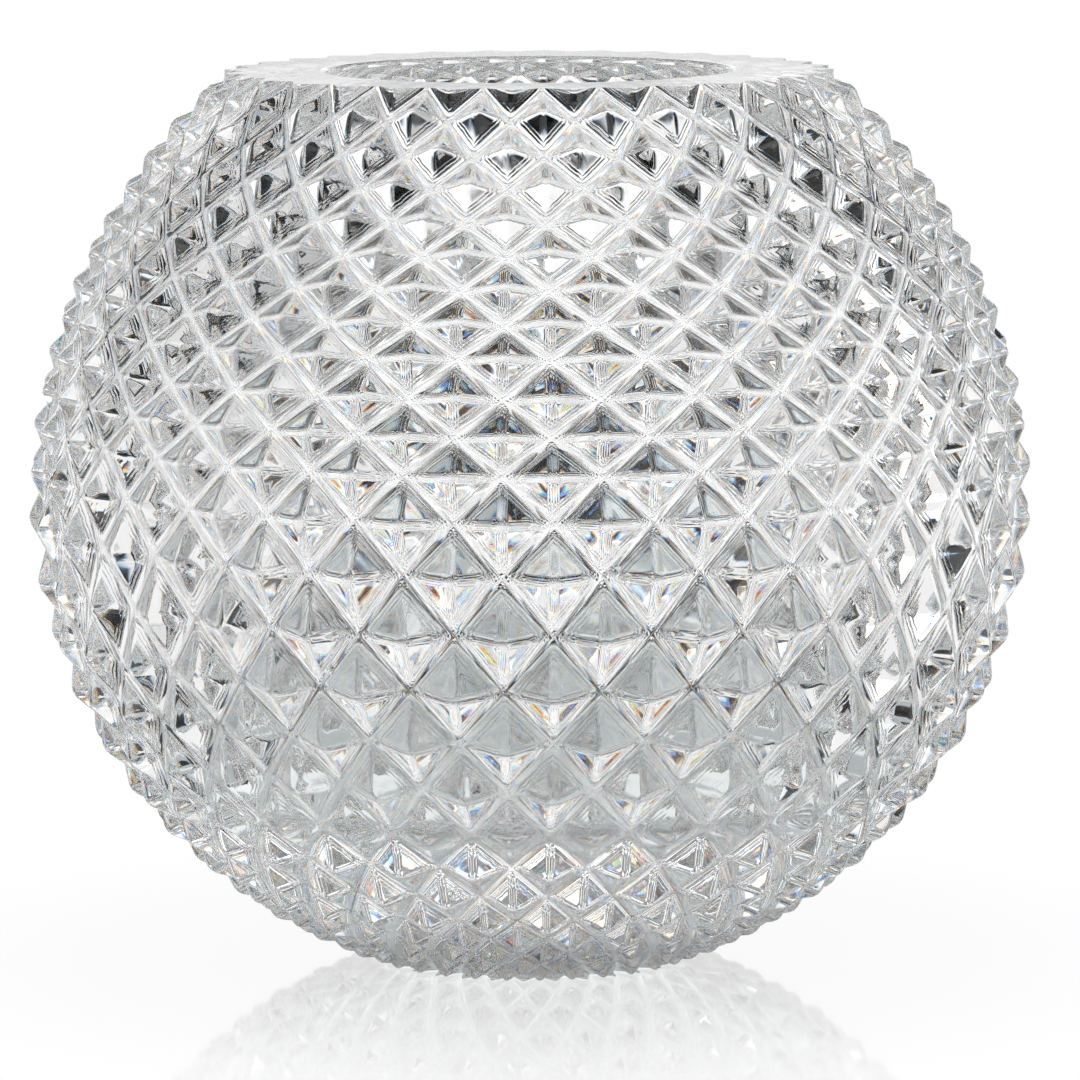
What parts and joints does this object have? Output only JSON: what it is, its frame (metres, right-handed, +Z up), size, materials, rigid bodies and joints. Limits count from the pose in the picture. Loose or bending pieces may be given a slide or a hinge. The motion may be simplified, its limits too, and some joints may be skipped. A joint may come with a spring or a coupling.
{
  "type": "rose bowl vase",
  "caption": "Round thick-walled bowl of clear crystal for cut flowers, covered in diamond-cut points, with a narrowed mouth, a wide flat rim and a flat base.",
  "frame": {"origin": "middle of the standing face, on the surface that the bowl stands on", "axes": "+Z up along the bowl's axis, -Y towards the front of the picture; the outside repeats every 11.25 degrees"},
  "size_m": [0.1996, 0.1996, 0.1775],
  "materials": {
    "clear_crystal": "polished"
  },
  "bodies": {
    "root": {"crystal_bowl": "clear_crystal"}
  },
  "joints": []
}
